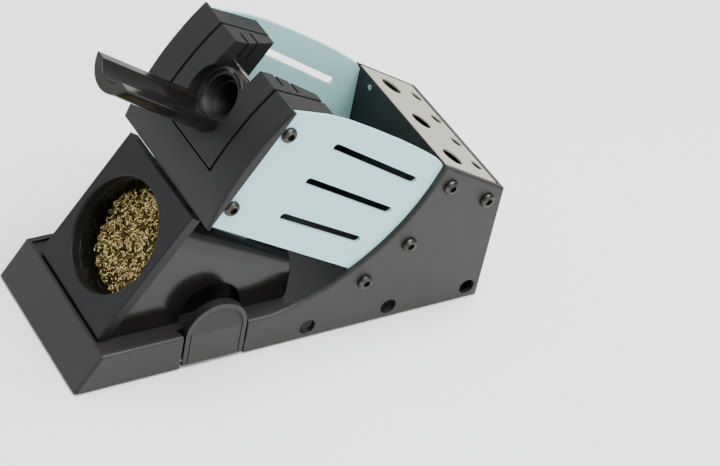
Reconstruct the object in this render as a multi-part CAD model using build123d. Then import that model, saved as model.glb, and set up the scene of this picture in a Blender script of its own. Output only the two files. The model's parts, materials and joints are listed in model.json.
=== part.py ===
from build123d import *
import math
import os

os.makedirs("parts", exist_ok=True)

# Driving dimensions, millimetres. X is across, Y runs from front to rear, Z is up.
# Profiles are drawn with the base's front edge at y = 0 and its underside at z = 0,
# then every piece is moved so that the origin lies under the middle of the feet.
LENGTH = 200.0
HALF = 40.0
WALL = 2.5
SHEET = 1.5
RACK_SHEET = 0.8
DECK = 16.5
RAIL = 17.9
FOOT = 1.0
NOSE_Y = 10.9
SLOPE_F = (168.3, 79.9)
SLOPE_G = (200.0, 61.39)
ARC_C = (72.06, 114.7)
ARC_R = 98.5
HEAD_O = (50.5, 76.4)
TILT = math.radians(32.5)
FLANGE_UP = math.radians(57.3)
MOUTH_R = 25.5
HEAD_R = 3.5
SHANK_R = 2.0
HOLE_R = 2.06
RING_Q = 40.0
TROUGH_Q = 38.2
PLACE = Pos(0, -LENGTH / 2, FOOT)

CA = math.cos(TILT)
SA = math.sin(TILT)
IN_X = HALF - WALL
RECESS_X = 36.9
SIDE_HOLE_R = 3.9
PLATE_X = IN_X - SHEET
SIDE_SCREWS = [(169.5, 70.0), (154.4, 41.5), (135.0, 25.4), (191.2, 57.4)]
PLATE_SCREWS = [(83.0, 116.0), (62.0, 83.2)]
SIDE_HOLES = [(109.8, 5.8), (151.2, 5.8), (193.0, 5.8)]
BOTTOM_SCREWS = [(-27, 24), (27, 24), (-34.2, 182.5), (34.2, 182.5)]


def tilt_yz(s, q):
    """Point in the tilted frame of the head: s runs rearward and down, q runs up."""
    return (HEAD_O[0] + s * CA + q * SA, HEAD_O[1] - s * SA + q * CA)


def prism(points, x0, x1):
    """Solid with a closed outline in the Y-Z plane, from x0 to x1."""
    wire = Polyline([(x0, y, z) for y, z in points], close=True)
    return extrude(make_face(wire), amount=x1 - x0, dir=(1, 0, 0))


def rod_x(y, z, r, x0, x1):
    """Round bar along X."""
    bar = Cylinder(r, abs(x1 - x0))
    return Pos((x0 + x1) / 2, y, z) * Rot(0, 90, 0) * bar


def block(x0, x1, y0, y1, z0, z1):
    """Box from its limits."""
    box = Box(x1 - x0, y1 - y0, z1 - z0)
    return Pos((x0 + x1) / 2, (y0 + y1) / 2, (z0 + z1) / 2) * box


def tilt_plane(s, q=0.0):
    """Plane across the head's axis: local x is X, local y is q, local z points forward."""
    y, z = tilt_yz(s, q)
    return Plane(origin=(0, y, z), x_dir=(1, 0, 0), z_dir=(0, -CA, SA))


def tilt_block(x0, x1, s0, s1, q0, q1):
    """Box in the tilted frame."""
    box = Box(x1 - x0, q1 - q0, s1 - s0)
    mid = tilt_plane((s0 + s1) / 2, (q0 + q1) / 2)
    return mid * Pos((x0 + x1) / 2, 0, 0) * box


def tilt_rod(q, r, s0, s1, r_rear=None):
    """Round bar or cone along the head's axis, r at s0 and r_rear at s1."""
    mid = tilt_plane((s0 + s1) / 2, q)
    if r_rear is None:
        return mid * Cylinder(r, s1 - s0)
    return mid * Cone(r_rear, r, s1 - s0)


def save(shape, name):
    """Writes one piece in its finished place."""
    export_step(PLACE * shape, "parts/" + name + ".step")


def group(solids):
    """Separate solids that share one name."""
    return Compound(children=list(solids))


def arc_yz(radius, deg):
    """Point on a circle about the centre of the wall's curve."""
    a = math.radians(deg)
    return (ARC_C[0] + radius * math.cos(a), ARC_C[1] + radius * math.sin(a))


def button_screw(y, z, side, seat, reach):
    """Button head socket screw along X, its head outside the seat."""
    x_seat = side * seat
    x_top = side * (seat + 2.2)
    x_end = side * reach
    head = rod_x(y, z, HEAD_R, min(x_seat, x_top), max(x_seat, x_top))
    rim = head.edges().filter_by(GeomType.CIRCLE)
    rim = [e for e in rim if abs(e.center().X - x_top) < 0.01]
    head = fillet(rim, 1.6)
    key = extrude(Plane.YZ * RegularPolygon(1.75, 6), amount=1.3)
    key_x = x_top - 1.3 if side > 0 else x_top
    head = head - Pos(key_x, y, z) * key
    shank = rod_x(y, z, SHANK_R, min(x_seat, x_end), max(x_seat, x_end))
    return head + shank


def slope_yz(y, drop=0.0):
    """Height of the rear slope over y, less a drop square to it."""
    rise = (SLOPE_G[1] - SLOPE_F[1]) / (SLOPE_G[0] - SLOPE_F[0])
    z = SLOPE_F[1] + (y - SLOPE_F[0]) * rise
    return z - drop * math.hypot(1.0, rise)


# ---- base ------------------------------------------------------------------
START = (ARC_C[0] + math.sqrt(ARC_R ** 2 - (ARC_C[1] - RAIL) ** 2), RAIL)
END_DEG = -19.45
END = (arc_yz(ARC_R, END_DEG)[0], slope_yz(arc_yz(ARC_R, END_DEG)[0]))


def base_outline(x):
    edges = [
        Line((x, 0, 0), (x, NOSE_Y, RAIL)),
        Line((x, NOSE_Y, RAIL), (x, START[0], START[1])),
        ThreePointArc((x, *START), (x, *arc_yz(ARC_R, -48)), (x, *END)),
        Line((x, *END), (x, LENGTH, SLOPE_G[1])),
        Line((x, LENGTH, SLOPE_G[1]), (x, LENGTH, 0)),
        Line((x, LENGTH, 0), (x, 0, 0)),
    ]
    return make_face(Wire(edges))


def base_shell():
    body = extrude(base_outline(-HALF), amount=2 * HALF, dir=(1, 0, 0))
    soft = []
    for e in body.edges():
        c = e.center()
        if abs(abs(c.X) - HALF) < 0.01 and c.Z > 1.0:
            soft.append(e)
    body = fillet(soft, 1.3)
    body = body - block(-IN_X, IN_X, 4, 197.5, -1, SHEET)
    body = body - block(-RECESS_X, RECESS_X, 12.3, 104.5, DECK, 60)
    body = body - block(-IN_X, IN_X, 104, 197.5, SHEET - 0.01, 120)
    for side in (-1, 1):
        x_in = side * 33.0
        x_out = side * 41.0
        body = body - block(min(x_in, x_out), max(x_in, x_out), 48.3, 79.1, -1, 40)
        boss_lo = min(side * 31.0, side * IN_X)
        boss_hi = max(side * 31.0, side * IN_X)
        body = body + block(boss_lo, boss_hi, 178, 187, SHEET, 12)
        pin = Pos(side * 38.0, 63.7, 3.4) * Rot(90, 0, 0) * Cylinder(1.2, 40.0)
        body = body - pin
        for y, z in SIDE_SCREWS:
            body = body - rod_x(y, z, HOLE_R, min(side * 35, side * 42), max(side * 35, side * 42))
        for y, z in SIDE_HOLES:
            body = body - rod_x(y, z, SIDE_HOLE_R, min(side * 35, side * 42), max(side * 35, side * 42))
    for x, y in BOTTOM_SCREWS:
        body = body - Pos(x, y, 5) * Cylinder(1.56, 9.2)
    return body


FEET = [(-29, 13), (29, 13), (-29, 189), (29, 189)]
save(base_shell(), "base_shell")

plate = block(-IN_X, IN_X, 4, 197.5, 0, SHEET)
for side in (-1, 1):
    plate = plate - block(min(side * 33, side * 41), max(side * 33, side * 41), 48.3, 79.1, -1, 3)
for x, y in BOTTOM_SCREWS:
    plate = plate - Pos(x, y, 0.75) * Cylinder(1.56, 4)
    plate = plate - Pos(x, y, 0.4) * Cylinder(3.06, 0.8)
save(plate, "bottom_plate")

screws = []
for x, y in BOTTOM_SCREWS:
    one = Pos(x, y, 0.4) * Cylinder(3.0, 0.8)
    one = one + Pos(x, y, 5.1) * Cylinder(1.5, 8.8)
    one = one - Pos(x, y, 0.2) * Box(4.2, 0.7, 0.5)
    one = one - Pos(x, y, 0.2) * Box(0.7, 4.2, 0.5)
    screws.append(one)
save(group(screws), "bottom_screws")

feet = [Pos(x, y, -FOOT / 2) * Cylinder(6.0, FOOT) for x, y in FEET]
save(group(feet), "rubber_feet")

# ---- tip rack over the rear box ---------------------------------------------
RACK_Y0 = 166.0
RACK_Y1 = 196.7
RACK_X = 37.1
RACK_BIG_R = 5.3
RACK_SMALL_R = 3.1
RIVET = (25.0, 77.6)
RACK_BIG = [(-26.6, 10.6), (0.0, 10.6), (26.6, 10.6)]
RACK_SMALL = [(-26.2, 28.0), (-8.75, 28.0), (8.75, 28.0), (26.2, 28.0)]


def rack_plane(x, t, n=0.0):
    ang = math.atan2(SLOPE_F[1] - SLOPE_G[1], SLOPE_G[0] - SLOPE_F[0])
    y = SLOPE_F[0] + t * math.cos(ang) + n * math.sin(ang)
    z = SLOPE_F[1] - t * math.sin(ang) + n * math.cos(ang)
    return Plane(origin=(x, y, z), x_dir=(1, 0, 0), z_dir=(0, math.sin(ang), math.cos(ang)))


def rack_plate():
    top = [(RACK_Y0, slope_yz(RACK_Y0)), (RACK_Y1, slope_yz(RACK_Y1))]
    low = [(RACK_Y1, slope_yz(RACK_Y1, RACK_SHEET)), (RACK_Y0, slope_yz(RACK_Y0, RACK_SHEET))]
    sheet = prism(top + low, -RACK_X, RACK_X)
    for x, t in RACK_BIG:
        sheet = sheet - rack_plane(x, t) * Cylinder(RACK_BIG_R, 6)
    for x, t in RACK_SMALL:
        sheet = sheet - rack_plane(x, t) * Cylinder(RACK_SMALL_R, 6)
    front = [(166.0, slope_yz(166.0, 0.4)), (166.8, slope_yz(166.8, 0.4)), (166.8, 66.0), (166.0, 66.0)]
    sheet = sheet + prism(front, -30, 30)
    for side in (-1, 1):
        ear = [(177.0, slope_yz(177.0, 0.4)), (196.6, slope_yz(196.6, 0.4)), (196.6, 49.0), (184.0, 49.0)]
        x_a = min(side * PLATE_X, side * RACK_X)
        x_b = max(side * PLATE_X, side * RACK_X)
        sheet = sheet + prism(ear, x_a, x_b)
        y, z = SIDE_SCREWS[3]
        sheet = sheet - rod_x(y, z, HOLE_R, x_a - 1, x_b + 1)
        sheet = sheet - Pos(side * RIVET[0], 166.6, RIVET[1]) * Rot(90, 0, 0) * Cylinder(0.96, 4)
    return sheet


save(rack_plate(), "rack_plate")

panel_pts = [(165.0, slope_yz(165.0)), (166.0, slope_yz(166.0))]
panel_pts = panel_pts + [(166.0, SHEET), (165.0, SHEET)]
panel = prism(panel_pts, -PLATE_X, PLATE_X)
for side in (-1, 1):
    panel = panel - Pos(side * RIVET[0], 165.6, RIVET[1]) * Rot(90, 0, 0) * Cylinder(0.96, 6)
save(panel, "rear_box_panel")

rivets = []
for side in (-1, 1):
    shank = Pos(side * RIVET[0], 166.1, RIVET[1]) * Rot(90, 0, 0) * Cylinder(0.9, 2.6)
    dome = Pos(side * RIVET[0], 164.65, RIVET[1]) * Rot(90, 0, 0) * Cylinder(1.4, 0.7)
    tail = Pos(side * RIVET[0], 167.1, RIVET[1]) * Rot(90, 0, 0) * Cylinder(1.3, 0.6)
    rivets.append(shank + dome + tail)
save(group(rivets), "panel_rivets")

# ---- slotted side plates -----------------------------------------------------
LIP_LINE = [tilt_yz(1.4, 1.0), tilt_yz(0.9, 20), tilt_yz(0.45, 40), tilt_yz(0.0, 60.6)]
PLATE_OUT = [
    *LIP_LINE,
    (94.0, 123.7), (101.4, 121.2), (111.7, 116.4), (125.6, 108.4), (139.1, 100.2),
    (149.0, 93.7), (156.5, 88.4), (161.2, 84.9), (163.8, 82.2), (164.8, 79.6),
    (166.6, slope_yz(166.6, SHEET)), (174.8, slope_yz(174.8, SHEET)),
    (174.8, arc_yz(115.0, -26.4)[1]), arc_yz(115.0, -34), arc_yz(115.0, -43), arc_yz(115.0, -52),
    arc_yz(115.0, -59.5), (127.2, 17.0), (127.2, 32.8),
]
SLOTS = [((106.3, 104.6), (152.0, 75.4)), ((96.0, 89.2), (142.4, 61.2)), ((86.6, 72.7), (129.5, 48.3))]


def side_plate(side):
    x_a = min(side * PLATE_X, side * IN_X)
    x_b = max(side * PLATE_X, side * IN_X)
    body = prism(PLATE_OUT, x_a, x_b)
    for (y0, z0), (y1, z1) in SLOTS:
        run = math.hypot(y1 - y0, z1 - z0)
        ang = math.degrees(math.atan2(z1 - z0, y1 - y0))
        bar = extrude(Plane.YZ * SlotCenterToCenter(run - 3.4, 3.4), amount=6, both=True)
        mid = Pos(side * IN_X, (y0 + y1) / 2, (z0 + z1) / 2)
        body = body - mid * Rot(ang, 0, 0) * bar
    for y, z in SIDE_SCREWS[:3] + PLATE_SCREWS:
        body = body - rod_x(y, z, HOLE_R, x_a - 1, x_b + 1)
    return body


save(side_plate(-1), "side_plate_left")
save(side_plate(1), "side_plate_right")


def hex_nut(y, z, side):
    nut = extrude(Plane.YZ * RegularPolygon(3.4, 6), amount=2.6)
    x0 = side * PLATE_X - (2.6 if side > 0 else 0)
    return Pos(x0, y, z) * nut - rod_x(y, z, HOLE_R, x0 - 1, x0 + 4)


for side, word in ((-1, "left"), (1, "right")):
    wall = [button_screw(y, z, side, HALF, PLATE_X - 3.4) for y, z in SIDE_SCREWS]
    save(group(wall), "wall_screws_" + word)
    save(group([hex_nut(y, z, side) for y, z in SIDE_SCREWS]), "wall_nuts_" + word)
    front = [button_screw(y, z, side, IN_X, 29.0) for y, z in PLATE_SCREWS]
    save(group(front), "plate_screws_" + word)


# ---- head frame between the plates ------------------------------------------
HEAD_TOP = 61.3
HEAD_RISE = 0.13
U_HALF = 24.7
INSERT_HALF = 23.3
CHANNEL = 10.8
FLARE = 8.5
RING_S = -1.0
PIN_AT = (5.2, 52.5)
KERFS = (5.6, 12.4)


def face_arc(x):
    """Side outline of the head: curved front, flat underside, sloping top."""
    p0 = (x, *tilt_yz(0.6, 0.0))
    p1 = (x, *tilt_yz(-4.3, 34.0))
    p2 = (x, *tilt_yz(-1.6, HEAD_TOP - 0.2))
    p3 = (x, *tilt_yz(25.0, HEAD_TOP + 25.0 * HEAD_RISE))
    p4 = (x, *tilt_yz(30.0, HEAD_TOP - 0.5))
    p5 = (x, *tilt_yz(30.0, 6.0))
    p6 = (x, *tilt_yz(26.0, 0.0))
    edges = [ThreePointArc(p0, p1, p2), Line(p2, p3), Line(p3, p4), Line(p4, p5), Line(p5, p6), Line(p6, p0)]
    return make_face(Wire(edges))


def head_solid(half):
    """Outline of the head carried across X."""
    return extrude(face_arc(-half), amount=2 * half, dir=(1, 0, 0))


def head_frame():
    body = head_solid(HALF)
    soft = []
    for e in body.edges():
        c = e.center()
        if abs(abs(c.X) - HALF) < 0.01 and e.geom_type == GeomType.CIRCLE:
            soft.append(e)
    body = fillet(soft, 1.0)
    for side in (-1, 1):
        rear = [tilt_yz(1.47, -2.0), *LIP_LINE, tilt_yz(-0.2, 70), tilt_yz(50, 70), tilt_yz(50, -2)]
        x_a = min(side * PLATE_X, side * 45)
        x_b = max(side * PLATE_X, side * 45)
        body = body - prism(rear, x_a, x_b)
        for y, z in PLATE_SCREWS:
            body = body - rod_x(y, z, HOLE_R, min(side * 29, side * 45), max(side * 29, side * 45))
    body = body - tilt_block(-U_HALF, U_HALF, -20, 60, 17.7, 90)
    return body


save(head_frame(), "head_frame")


# ---- lift-out insert with the receptacle -------------------------------------
def trough_solid():
    tube = tilt_rod(TROUGH_Q, 14.6, -56.0, RING_S) - tilt_rod(TROUGH_Q, 10.3, -58.0, RING_S + 1)
    tube = tube - tilt_block(-20, 20, -60, 0, 32.5, 60)
    return tube


def channel_cut():
    """Open channel over the socket: parallel at the front, wider towards the rear."""
    cut = tilt_block(-CHANNEL, CHANNEL, -20, 60, RING_Q, 90)
    wide = [(-CHANNEL, 4.0), (CHANNEL, 4.0), (CHANNEL + FLARE, 26.0), (-CHANNEL - FLARE, 26.0)]
    plane = Plane(origin=(0, *tilt_yz(0, RING_Q)), x_dir=(1, 0, 0), z_dir=(0, SA, CA))
    flare = extrude(plane * make_face(Polyline([(x, y, 0) for x, y in wide], close=True)), amount=50)
    return cut + flare


def insert_half(side):
    body = head_solid(INSERT_HALF)
    body = body & tilt_block(-24, 24, -20, 24.5, 18.5, 90)
    body = body + tilt_block(-20, 20, 4, 24, 17.7, 18.6)
    body = body - channel_cut()
    body = body - tilt_rod(RING_Q, 12.9, -20, 3.0)
    body = body - tilt_rod(RING_Q, 10.3, 0, 24.0)
    body = body - tilt_rod(RING_Q, 6.0, 0, 40.0)
    body = body - tilt_rod(TROUGH_Q, 14.6, -20, RING_S)
    body = body - rod_x(*tilt_yz(*PIN_AT), 0.76, -14.1, 14.1)
    for s in KERFS:
        edge = CHANNEL + (s - 4.0) * FLARE / 22.0
        body = body - tilt_block(-edge - 7.4, edge + 7.4, s - 0.75, s + 0.75, 53.8, 90)
    if side < 0:
        return body & tilt_block(-40, 0, -30, 60, 0, 90)
    return body & tilt_block(0, 40, -30, 60, 0, 90)


save(insert_half(-1), "insert_half_left")
save(insert_half(1), "insert_half_right")

ring = tilt_rod(RING_Q, 12.9, RING_S, 3.0) - tilt_rod(RING_Q, 12.2, RING_S - 0.01, 0.0, 10.6)
ring = ring - tilt_rod(RING_Q, 10.3, -0.5, 5.0)
save(ring, "receptacle_ring")
sleeve = tilt_rod(RING_Q, 10.3, 0.0, 24.0) - tilt_rod(RING_Q, 9.7, -0.01, 4.0, 8.3)
sleeve = sleeve - tilt_rod(RING_Q, 7.6, 3.9, 12.0, 4.2)
sleeve = sleeve + (tilt_rod(RING_Q, 6.0, 23.9, 34.0))
sleeve = sleeve - tilt_rod(RING_Q, 4.2, -1.0, 40.0)
save(sleeve, "tip_sleeve")
save(trough_solid(), "rest_trough")
save(rod_x(*tilt_yz(*PIN_AT), 0.7, -14, 14), "cross_pin")


# ---- pull-out cassette with brass wool ---------------------------------------
FL_Y = 13.2
FL_Z = 18.9
FL_LEN = 66.6
FL_HALF = 29.8
UP = (math.cos(FLANGE_UP), math.sin(FLANGE_UP))
BACK = (math.sin(FLANGE_UP), -math.cos(FLANGE_UP))
MOUTH_UP = 33.2
MOUTH = (FL_Y + UP[0] * MOUTH_UP, FL_Z + UP[1] * MOUTH_UP)


def mouth_rod(r, d0, d1, r_rear=None):
    """Round bar square to the flange, between depths d0 and d1."""
    mid = (d0 + d1) / 2
    at = Plane(
        origin=(0, MOUTH[0] + BACK[0] * mid, MOUTH[1] + BACK[1] * mid),
        x_dir=(1, 0, 0),
        z_dir=(0, -BACK[0], -BACK[1]),
    )
    if r_rear is None:
        return at * Cylinder(r, d1 - d0)
    return at * Cone(r_rear, r, d1 - d0)


def at_flange(u, d):
    return (FL_Y + UP[0] * u + BACK[0] * d, FL_Z + UP[1] * u + BACK[1] * d)


def cavity():
    well = mouth_rod(MOUTH_R, -8.0, 18.0) + mouth_rod(23.0, 17.9, 66.0)
    return well & block(-40, 40, -10, 99.8, 19.0, 200)


def cassette_flange():
    body = prism([at_flange(0, 0), at_flange(FL_LEN, 0), at_flange(FL_LEN, 5), at_flange(-1, 5)], -FL_HALF, FL_HALF)
    soft = [e for e in body.edges() if abs(abs(e.center().X) - FL_HALF) < 0.01]
    rim = []
    for e in soft:
        c = e.center()
        d = (c.Y - FL_Y) * BACK[0] + (c.Z - FL_Z) * BACK[1]
        if abs(d) < 0.05:
            rim.append(e)
    body = chamfer(rim, 0.4)
    body = body - mouth_rod(MOUTH_R, -10, 10)
    body = body - mouth_rod(MOUTH_R + 0.6, -0.01, 0.6, MOUTH_R)
    return body & block(-40, 40, 0, 120, DECK + 0.1, 200)


def section(s, radius):
    with BuildSketch(tilt_plane(s)) as sk:
        with Locations((0, -42.5)):
            Rectangle(58.6, 80.0)
        upper = sk.vertices().sort_by(lambda v: v.Y * SA + v.Z * CA)[-2:]
        fillet(upper, radius)
    return sk.sketch


def cassette_body():
    lofted = loft([section(-1.0, 17.0), section(75.0, 8.0)])
    front = [at_flange(-40, 5), at_flange(100, 5), at_flange(100, 140), at_flange(-40, 140)]
    body = lofted & prism(front, -40, 40)
    body = body & block(-40, 40, 0, 102.6, DECK + 0.1, 200)
    body = body - cavity()
    for side in (-1, 1):
        x_a = min(side * 25.2, side * 40)
        x_b = max(side * 25.2, side * 40)
        body = body - rod_x(65.2, 20.0, 14.3, x_a, x_b)
        body = body - block(x_a, x_b, 50.9, 79.5, 10, 20)
    return body


save(cassette_flange(), "cassette_flange")
save(cassette_body(), "cassette_body")


def brass_wool():
    """Springy pad, its front a shallow dome well below the mouth."""
    pad = cavity() & mouth_rod(40, 13.6, 90)
    dome = mouth_rod(20.0, 12.2, 13.6, MOUTH_R - 0.2)
    return pad + dome


save(brass_wool(), "brass_wool")


# ---- latch tabs in the base walls --------------------------------------------
TAB_Y = 63.8
TAB_W = 14.4
TAB_TOP = 17.5


def tab_prism(w, low, x0, x1):
    edges = [
        Line((x0, TAB_Y - w, low), (x0, TAB_Y - w, TAB_TOP)),
        ThreePointArc((x0, TAB_Y - w, TAB_TOP), (x0, TAB_Y, TAB_TOP + w), (x0, TAB_Y + w, TAB_TOP)),
        Line((x0, TAB_Y + w, TAB_TOP), (x0, TAB_Y + w, low)),
        Line((x0, TAB_Y + w, low), (x0, TAB_Y - w, low)),
    ]
    return extrude(make_face(Wire(edges)), amount=x1 - x0, dir=(1, 0, 0))


def latch_tab(side):
    body = tab_prism(TAB_W, 1.0, 36.0, 40.0)
    body = body + block(35.6, 37.0, TAB_Y - TAB_W, TAB_Y + TAB_W, 1.0, 6.2)
    lean = Plane(origin=(40.0, 0, 17.5), x_dir=(0, 1, 0), z_dir=(0.972, 0, 0.235))
    pocket = tab_prism(TAB_W - 2.0, 12.0, 37.0, 44.0)
    body = body - (pocket & (lean * Pos(60, 0, 10) * Box(120, 60, 20)))
    groove = tab_prism(TAB_W - 2.0, 1.0, 39.5, 41.0) - tab_prism(TAB_W - 2.5, 0.0, 39.0, 42.0)
    body = body - groove
    body = body - Pos(38.0, TAB_Y, 3.4) * Rot(90, 0, 0) * Cylinder(1.25, 60)
    if side < 0:
        body = mirror(body, about=Plane.YZ)
    return body


for side, word in ((-1, "left"), (1, "right")):
    save(latch_tab(side), "latch_tab_" + word)
    save(Pos(side * 38.0, 63.7, 3.4) * Rot(90, 0, 0) * Cylinder(1.2, 40.0), "latch_pin_" + word)
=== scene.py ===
import bpy
import json
import math
import random
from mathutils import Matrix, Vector


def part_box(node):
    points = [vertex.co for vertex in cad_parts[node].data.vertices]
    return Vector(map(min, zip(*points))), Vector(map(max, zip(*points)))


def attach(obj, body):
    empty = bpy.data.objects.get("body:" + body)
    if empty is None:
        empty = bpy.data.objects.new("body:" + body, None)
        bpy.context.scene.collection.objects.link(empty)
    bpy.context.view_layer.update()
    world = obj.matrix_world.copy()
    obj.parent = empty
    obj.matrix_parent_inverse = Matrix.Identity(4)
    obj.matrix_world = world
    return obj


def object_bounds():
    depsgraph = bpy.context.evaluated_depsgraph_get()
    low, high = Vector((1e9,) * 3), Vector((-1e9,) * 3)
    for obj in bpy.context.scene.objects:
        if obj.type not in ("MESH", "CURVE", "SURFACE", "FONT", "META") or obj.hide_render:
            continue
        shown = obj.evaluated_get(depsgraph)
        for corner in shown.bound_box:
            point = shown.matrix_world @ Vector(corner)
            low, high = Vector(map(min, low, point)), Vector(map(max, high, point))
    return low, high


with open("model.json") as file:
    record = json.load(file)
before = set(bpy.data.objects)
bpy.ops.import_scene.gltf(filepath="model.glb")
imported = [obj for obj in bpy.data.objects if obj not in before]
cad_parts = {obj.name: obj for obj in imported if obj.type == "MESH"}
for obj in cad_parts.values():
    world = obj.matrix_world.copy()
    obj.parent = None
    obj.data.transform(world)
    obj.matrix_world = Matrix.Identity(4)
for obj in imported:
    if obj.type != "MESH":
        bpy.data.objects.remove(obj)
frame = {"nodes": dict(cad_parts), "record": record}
size_at_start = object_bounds()
nodes = frame["nodes"]
scene = bpy.context.scene
random.seed(11)

MM = 0.001


# ---------------------------------------------------------------------------
# Places on the cassette front, in metres
# ---------------------------------------------------------------------------
ACROSS = Vector((1.0, 0.0, 0.0))

flange_low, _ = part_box("cassette_flange")
FLANGE_TILT = math.radians(57.3)
FLANGE_UP = Vector((0.0, math.cos(FLANGE_TILT), math.sin(FLANGE_TILT)))
FLANGE_IN = Vector((0.0, math.sin(FLANGE_TILT), -math.cos(FLANGE_TILT)))
MOUTH_UP = 33.2 * MM
LIP_DROP = 2.30 * MM
LIP = Vector((0.0, flange_low[1], flange_low[2] + LIP_DROP))
MOUTH = LIP + FLANGE_UP * MOUTH_UP
MOUTH_R = 25.5 * MM
WOOL_DEPTH = 12.4 * MM
WOOL_EDGE_GAP = 1.7 * MM
WOOL_FLAT_R = 19 * MM
WOOL_ROLL = 6 * MM
WOOL_DROP = 1.4 * MM
CURLS = 1800
CURL_THICK = 0.22 * MM


# ---------------------------------------------------------------------------
# Materials
# ---------------------------------------------------------------------------
def new_material(name):
    """Node material with only an output node, returned with its tree."""
    mat = bpy.data.materials.new(name)
    mat.use_nodes = True
    tree = mat.node_tree
    tree.nodes.clear()
    out = tree.nodes.new("ShaderNodeOutputMaterial")
    out.label = "surface out"
    out.location = (900, 0)
    return mat, tree, out


def moulded(name, color, speck, rough, rough_swing, grain, depth, edge=0.35, specular=0.5):
    """Moulded plastic, cast metal with paint, or rubber: fine grain, soft edges, faint handling marks."""
    mat, tree, out = new_material(name)
    n = tree.nodes

    color_frame = n.new("NodeFrame")
    color_frame.label = "colour"
    shine_frame = n.new("NodeFrame")
    shine_frame.label = "shine"
    relief_frame = n.new("NodeFrame")
    relief_frame.label = "relief"

    place = n.new("ShaderNodeTexCoord")
    place.label = "object place"
    place.location = (-1100, 0)

    cloud = n.new("ShaderNodeTexNoise")
    cloud.label = "slow tone change"
    cloud.location = (-800, 300)
    cloud.parent = color_frame
    cloud.inputs["Scale"].default_value = 26.0
    cloud.inputs["Detail"].default_value = 3.0

    specks = n.new("ShaderNodeTexNoise")
    specks.label = "paint specks"
    specks.location = (-800, 100)
    specks.parent = color_frame
    specks.inputs["Scale"].default_value = grain * 0.8
    specks.inputs["Detail"].default_value = 2.0

    tone = n.new("ShaderNodeMix")
    tone.data_type = "RGBA"
    tone.label = "base to worn tone"
    tone.location = (-500, 300)
    tone.parent = color_frame
    tone.inputs[6].default_value = (color[0] * 0.9, color[1] * 0.9, color[2] * 0.9, 1)
    tone.inputs[7].default_value = (color[0] * 1.12, color[1] * 1.12, color[2] * 1.12, 1)

    speck_ramp = n.new("ShaderNodeValToRGB")
    speck_ramp.label = "speck edge"
    speck_ramp.location = (-500, 80)
    speck_ramp.parent = color_frame
    speck_ramp.color_ramp.elements[0].position = 0.56
    speck_ramp.color_ramp.elements[1].position = 0.72

    spotted = n.new("ShaderNodeMix")
    spotted.data_type = "RGBA"
    spotted.label = "light specks"
    spotted.location = (-200, 250)
    spotted.parent = color_frame
    spotted.inputs[7].default_value = (speck[0], speck[1], speck[2], 1)

    smudge = n.new("ShaderNodeTexNoise")
    smudge.label = "handling marks"
    smudge.location = (-800, -150)
    smudge.parent = shine_frame
    smudge.inputs["Scale"].default_value = 70.0
    smudge.inputs["Detail"].default_value = 5.0

    shine = n.new("ShaderNodeMapRange")
    shine.label = "roughness range"
    shine.location = (-500, -150)
    shine.parent = shine_frame
    shine.inputs["To Min"].default_value = max(rough - rough_swing, 0.02)
    shine.inputs["To Max"].default_value = rough + rough_swing

    grit = n.new("ShaderNodeTexNoise")
    grit.label = "surface grain"
    grit.location = (-800, -420)
    grit.parent = relief_frame
    grit.inputs["Scale"].default_value = grain
    grit.inputs["Detail"].default_value = 2.5

    rounded = n.new("ShaderNodeBevel")
    rounded.label = "soft moulded edge"
    rounded.location = (-500, -600)
    rounded.parent = relief_frame
    rounded.samples = 6
    rounded.inputs["Radius"].default_value = edge * MM

    bump = n.new("ShaderNodeBump")
    bump.label = "grain height"
    bump.location = (-200, -420)
    bump.parent = relief_frame
    bump.inputs["Strength"].default_value = 1.0
    bump.inputs["Distance"].default_value = depth * MM

    surface = n.new("ShaderNodeBsdfPrincipled")
    surface.label = "shell"
    surface.location = (500, 0)
    surface.inputs["Specular IOR Level"].default_value = specular

    link = tree.links.new
    link(place.outputs["Object"], cloud.inputs["Vector"])
    link(place.outputs["Object"], specks.inputs["Vector"])
    link(place.outputs["Object"], smudge.inputs["Vector"])
    link(place.outputs["Object"], grit.inputs["Vector"])
    link(cloud.outputs["Fac"], tone.inputs[0])
    link(specks.outputs["Fac"], speck_ramp.inputs["Fac"])
    link(speck_ramp.outputs["Color"], spotted.inputs[0])
    link(tone.outputs[2], spotted.inputs[6])
    link(spotted.outputs[2], surface.inputs["Base Color"])
    link(smudge.outputs["Fac"], shine.inputs["Value"])
    link(shine.outputs["Result"], surface.inputs["Roughness"])
    link(grit.outputs["Fac"], bump.inputs["Height"])
    link(rounded.outputs["Normal"], bump.inputs["Normal"])
    link(bump.outputs["Normal"], surface.inputs["Normal"])
    link(surface.outputs["BSDF"], out.inputs["Surface"])
    return mat


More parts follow.
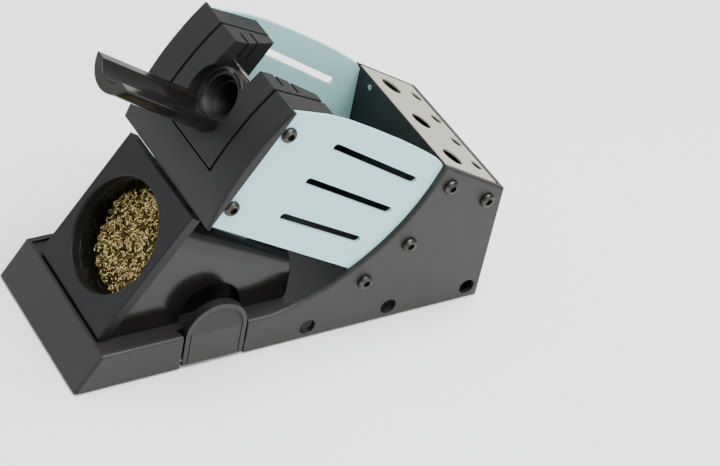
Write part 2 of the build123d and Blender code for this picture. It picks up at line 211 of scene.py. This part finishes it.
def sheet_paint(name, color, rough, metal, streak, edge=0.3):
    """Painted or lightly brushed sheet metal, its grain running front to rear."""
    mat, tree, out = new_material(name)
    n = tree.nodes

    color_frame = n.new("NodeFrame")
    color_frame.label = "colour"
    brush_frame = n.new("NodeFrame")
    brush_frame.label = "brushing"

    place = n.new("ShaderNodeTexCoord")
    place.label = "object place"
    place.location = (-1100, 0)

    stretch = n.new("ShaderNodeMapping")
    stretch.label = "stretch along the sheet"
    stretch.location = (-900, -300)
    stretch.parent = brush_frame
    stretch.inputs["Scale"].default_value = (1.0, 0.06, 1.0)

    lines = n.new("ShaderNodeTexNoise")
    lines.label = "brush lines"
    lines.location = (-650, -300)
    lines.parent = brush_frame
    lines.inputs["Scale"].default_value = 1500.0
    lines.inputs["Detail"].default_value = 3.0

    cloud = n.new("ShaderNodeTexNoise")
    cloud.label = "slow tone change"
    cloud.location = (-650, 250)
    cloud.parent = color_frame
    cloud.inputs["Scale"].default_value = 14.0
    cloud.inputs["Detail"].default_value = 4.0

    tone = n.new("ShaderNodeMix")
    tone.data_type = "RGBA"
    tone.label = "paint tone"
    tone.location = (-350, 250)
    tone.parent = color_frame
    tone.inputs[6].default_value = (color[0] * 0.96, color[1] * 0.97, color[2] * 0.97, 1)
    tone.inputs[7].default_value = (color[0] * 1.03, color[1] * 1.03, color[2] * 1.03, 1)

    shine = n.new("ShaderNodeMapRange")
    shine.label = "roughness range"
    shine.location = (-350, -60)
    shine.inputs["To Min"].default_value = rough - 0.06
    shine.inputs["To Max"].default_value = rough + 0.06

    rounded = n.new("ShaderNodeBevel")
    rounded.label = "rolled cut edge"
    rounded.location = (-350, -500)
    rounded.parent = brush_frame
    rounded.samples = 6
    rounded.inputs["Radius"].default_value = edge * MM

    bump = n.new("ShaderNodeBump")
    bump.label = "brushing depth"
    bump.location = (-100, -300)
    bump.parent = brush_frame
    bump.inputs["Strength"].default_value = streak
    bump.inputs["Distance"].default_value = 0.02 * MM

    surface = n.new("ShaderNodeBsdfPrincipled")
    surface.label = "sheet"
    surface.location = (500, 0)
    surface.inputs["Metallic"].default_value = metal

    link = tree.links.new
    link(place.outputs["Object"], stretch.inputs["Vector"])
    link(stretch.outputs["Vector"], lines.inputs["Vector"])
    link(place.outputs["Object"], cloud.inputs["Vector"])
    link(cloud.outputs["Fac"], tone.inputs[0])
    link(tone.outputs[2], surface.inputs["Base Color"])
    link(lines.outputs["Fac"], shine.inputs["Value"])
    link(shine.outputs["Result"], surface.inputs["Roughness"])
    link(lines.outputs["Fac"], bump.inputs["Height"])
    link(rounded.outputs["Normal"], bump.inputs["Normal"])
    link(bump.outputs["Normal"], surface.inputs["Normal"])
    link(surface.outputs["BSDF"], out.inputs["Surface"])
    return mat


def bare_metal(name, color, rough, tarnish_and_glint_dark, patch_scale, edge=0.15):
    """Bare or blackened metal with darker oxide in patches; on the brass shavings the fine patches are
    partly painted glints, bright and dark strand colour standing in for highlights.
    """
    mat, tree, out = new_material(name)
    n = tree.nodes

    oxide_frame = n.new("NodeFrame")
    oxide_frame.label = "oxide"

    place = n.new("ShaderNodeTexCoord")
    place.label = "object place"
    place.location = (-1000, 0)

    patches = n.new("ShaderNodeTexNoise")
    patches.label = "oxide and painted glint patches"
    patches.location = (-750, 100)
    patches.parent = oxide_frame
    patches.inputs["Scale"].default_value = patch_scale
    patches.inputs["Detail"].default_value = 4.0

    spread = n.new("ShaderNodeMapRange")
    spread.label = "patch contrast"
    spread.location = (-500, 100)
    spread.parent = oxide_frame
    spread.inputs["From Min"].default_value = 0.35
    spread.inputs["From Max"].default_value = 0.65

    tone = n.new("ShaderNodeMix")
    tone.data_type = "RGBA"
    tone.label = "clean to oxidised with painted glint contrast"
    tone.location = (-250, 200)
    tone.parent = oxide_frame
    tone.inputs[6].default_value = (color[0], color[1], color[2], 1)
    tone.inputs[7].default_value = (tarnish_and_glint_dark[0], tarnish_and_glint_dark[1], tarnish_and_glint_dark[2], 1)

    shine = n.new("ShaderNodeMapRange")
    shine.label = "roughness range"
    shine.location = (-250, -100)
    shine.inputs["To Min"].default_value = rough
    shine.inputs["To Max"].default_value = rough + 0.18

    rounded = n.new("ShaderNodeBevel")
    rounded.label = "broken edge"
    rounded.location = (-250, -350)
    rounded.samples = 6
    rounded.inputs["Radius"].default_value = edge * MM

    surface = n.new("ShaderNodeBsdfPrincipled")
    surface.label = "metal"
    surface.location = (400, 0)
    surface.inputs["Metallic"].default_value = 1.0

    link = tree.links.new
    link(place.outputs["Object"], patches.inputs["Vector"])
    link(patches.outputs["Fac"], spread.inputs["Value"])
    link(spread.outputs["Result"], tone.inputs[0])
    link(spread.outputs["Result"], shine.inputs["Value"])
    link(tone.outputs[2], surface.inputs["Base Color"])
    link(shine.outputs["Result"], surface.inputs["Roughness"])
    link(rounded.outputs["Normal"], surface.inputs["Normal"])
    link(surface.outputs["BSDF"], out.inputs["Surface"])
    return mat


cast_base = moulded(
    "cast base paint", (0.0110, 0.0109, 0.0093), (0.0185, 0.0182, 0.0152), 0.46, 0.07, 1500.0, 0.05,
    edge=0.5, specular=0.34,
)
head_plastic = moulded(
    "head plastic", (0.0105, 0.0108, 0.0107), (0.0130, 0.0133, 0.0132), 0.47, 0.07, 1900.0, 0.02,
    edge=0.5, specular=0.22,
)
flange_plastic = moulded(
    "cassette front plastic", (0.0070, 0.0077, 0.0082), (0.0085, 0.0094, 0.0100), 0.42, 0.05, 2200.0, 0.01,
    edge=0.35, specular=0.22,
)
tab_plastic = moulded(
    "latch plastic", (0.0105, 0.0102, 0.0092), (0.014, 0.0136, 0.0125), 0.40, 0.06, 1800.0, 0.02,
    edge=0.4, specular=0.34,
)
gloss_black = moulded(
    "gloss black plastic", (0.0062, 0.0060, 0.0055), (0.0075, 0.0072, 0.0066), 0.17, 0.05, 900.0, 0.006,
    edge=0.8, specular=0.36,
)
foot_rubber = moulded(
    "foot rubber", (0.010, 0.010, 0.010), (0.015, 0.015, 0.015), 0.72, 0.06, 1100.0, 0.03
)
dark_sheet = sheet_paint("black sheet paint", (0.0035, 0.0035, 0.0033), 0.50, 0.0, 0.25)
pale_plate = sheet_paint("pale plate paint", (0.345, 0.62, 0.625), 0.42, 0.0, 0.10)
rack_metal = sheet_paint("rack plate finish", (0.325, 0.32, 0.25), 0.40, 0.2, 0.5)
black_screw = bare_metal("blackened screw steel", (0.075, 0.072, 0.066), 0.32, (0.035, 0.033, 0.030), 420.0)
bright_steel = bare_metal("bright pin steel", (0.72, 0.72, 0.71), 0.16, (0.5, 0.49, 0.47), 300.0)
# packed brass core: brass darkened far below its own colour, painted shade standing in for the dark gaps
# deep between the strands
brass_core_painted_shade = bare_metal("packed brass in painted shade", (0.11, 0.08, 0.022), 0.42, (0.02, 0.014, 0.004), 650.0)
# brass shavings: fine bright and dark patches, partly real tarnish and partly painted glints on the strands
brass_strand_painted_glints = bare_metal("brass shavings with painted glints", (1.0, 0.88, 0.48), 0.06, (0.42, 0.32, 0.10), 900.0, edge=0.01)

FINISH = {
    "cast_base": cast_base,
    "dark_sheet": dark_sheet,
    "black_screw": black_screw,
    "foot_rubber": foot_rubber,
    "rack_metal": rack_metal,
    "bright_steel": bright_steel,
    "pale_plate": pale_plate,
    "head_plastic": head_plastic,
    "gloss_black": gloss_black,
    "flange_plastic": flange_plastic,
    "brass_wool": brass_core_painted_shade,
    "tab_plastic": tab_plastic,
}

for part in frame["record"]["subparts"]:
    cad = nodes[part["node"]]
    cad.data.materials.clear()
    cad.data.materials.append(FINISH[part["material_slot"]])


# ---------------------------------------------------------------------------
# Brass wool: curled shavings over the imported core
# ---------------------------------------------------------------------------
def brass_shavings():
    """Short curled ribbons scattered over the sloping front of the wool."""
    front = MOUTH + FLANGE_IN * WOOL_DEPTH
    normal = -FLANGE_IN
    curve = bpy.data.curves.new("brass_shavings", "CURVE")
    curve.dimensions = "3D"
    curve.bevel_depth = CURL_THICK
    curve.bevel_resolution = 0
    curve.use_fill_caps = False
    side_dir = ACROSS - normal * ACROSS.dot(normal)
    side_dir.normalize()
    up_dir = normal.cross(side_dir)
    count = 0
    while count < CURLS:
        u = random.uniform(-25, 25) * MM
        v = random.uniform(-25, 25) * MM
        radial = math.hypot(u, v)
        if radial > MOUTH_R - WOOL_EDGE_GAP:
            continue
        sink = WOOL_DROP * max(0.0, (radial - WOOL_FLAT_R) / WOOL_ROLL)
        height = random.uniform(-1.4, 0.9) * MM - sink
        centre = front + side_dir * u + up_dir * v + normal * height
        axis = Vector((random.gauss(0, 1), random.gauss(0, 1), random.gauss(0, 1))).normalized()
        first = axis.orthogonal().normalized()
        second = axis.cross(first)
        radius = random.uniform(0.45, 1.15) * MM
        pitch = random.uniform(0.2, 1.1) * MM
        turns = random.uniform(0.7, 1.8)
        steps = int(6 * turns) + 3
        spline = curve.splines.new("POLY")
        spline.points.add(steps - 1)
        phase = random.uniform(0, 2 * math.pi)
        for k in range(steps):
            a = phase + 2 * math.pi * turns * k / (steps - 1)
            along = axis * pitch * turns * (k / (steps - 1) - 0.5)
            point = centre + first * radius * math.cos(a) + second * radius * math.sin(a) + along
            spline.points[k].co = (point.x, point.y, point.z, 1.0)
        count += 1
    obj = bpy.data.objects.new("brass_shavings", curve)
    scene.collection.objects.link(obj)
    obj.data.materials.append(brass_strand_painted_glints)
    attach(obj, "wool_cassette")


brass_shavings()


# ---------------------------------------------------------------------------
# Stage: pale floor, soft light, camera
# ---------------------------------------------------------------------------
def pale_floor():
    mesh = bpy.data.meshes.new("floor")
    half = 4.0
    corners = [(-half, -half, 0), (half, -half, 0), (half, half, 0), (-half, half, 0)]
    mesh.from_pydata(corners, [], [(0, 1, 2, 3)])
    floor = bpy.data.objects.new("floor", mesh)
    scene.collection.objects.link(floor)
    mat, tree, out = new_material("pale floor")
    tint = tree.nodes.new("ShaderNodeTexNoise")
    tint.label = "faint paper tone"
    tint.location = (-300, 0)
    tint.inputs["Scale"].default_value = 3.0
    shade = tree.nodes.new("ShaderNodeMapRange")
    shade.label = "tone range"
    shade.location = (0, 0)
    shade.inputs["To Min"].default_value = 0.93
    shade.inputs["To Max"].default_value = 0.95
    surface = tree.nodes.new("ShaderNodeBsdfDiffuse")
    surface.label = "paper"
    surface.location = (400, 0)
    tree.links.new(tint.outputs["Fac"], shade.inputs["Value"])
    tree.links.new(shade.outputs["Result"], surface.inputs["Color"])
    tree.links.new(surface.outputs["BSDF"], out.inputs["Surface"])
    floor.data.materials.append(mat)
    return floor


def soft_light(name, place, aim, size, power):
    lamp = bpy.data.lights.new(name, "AREA")
    lamp.shape = "RECTANGLE"
    lamp.size = size[0]
    lamp.size_y = size[1]
    lamp.energy = power
    obj = bpy.data.objects.new(name, lamp)
    scene.collection.objects.link(obj)
    obj.location = place
    obj.rotation_euler = (Vector(aim) - Vector(place)).to_track_quat("-Z", "Y").to_euler()
    return obj


centre = (size_at_start[0] + size_at_start[1]) / 2
floor = pale_floor()
key = soft_light("top softbox", (0.15, 0.25, 1.15), centre, (1.0, 0.8), 33.0)
fill = soft_light("left softbox", (-0.85, -0.65, 0.55), centre, (0.9, 0.7), 2.5)
right = soft_light("right softbox", (0.95, 0.15, 0.45), centre, (0.7, 0.6), 5.5)

world = bpy.data.worlds.new("studio")
world.use_nodes = True
world.node_tree.nodes["Background"].inputs["Color"].default_value = (1.0, 1.0, 1.0, 1)
world.node_tree.nodes["Background"].inputs["Strength"].default_value = 0.62
scene.world = world

lens = bpy.data.cameras.new("camera")
lens.lens = 110.47
lens.sensor_width = 36.0
lens.dof.use_dof = False
camera = bpy.data.objects.new("camera", lens)
scene.collection.objects.link(camera)
camera.location = (0.62127, -0.42042, 0.64323)
camera.rotation_euler = (math.radians(50.633), math.radians(-9.811), math.radians(60.377))
scene.camera = camera
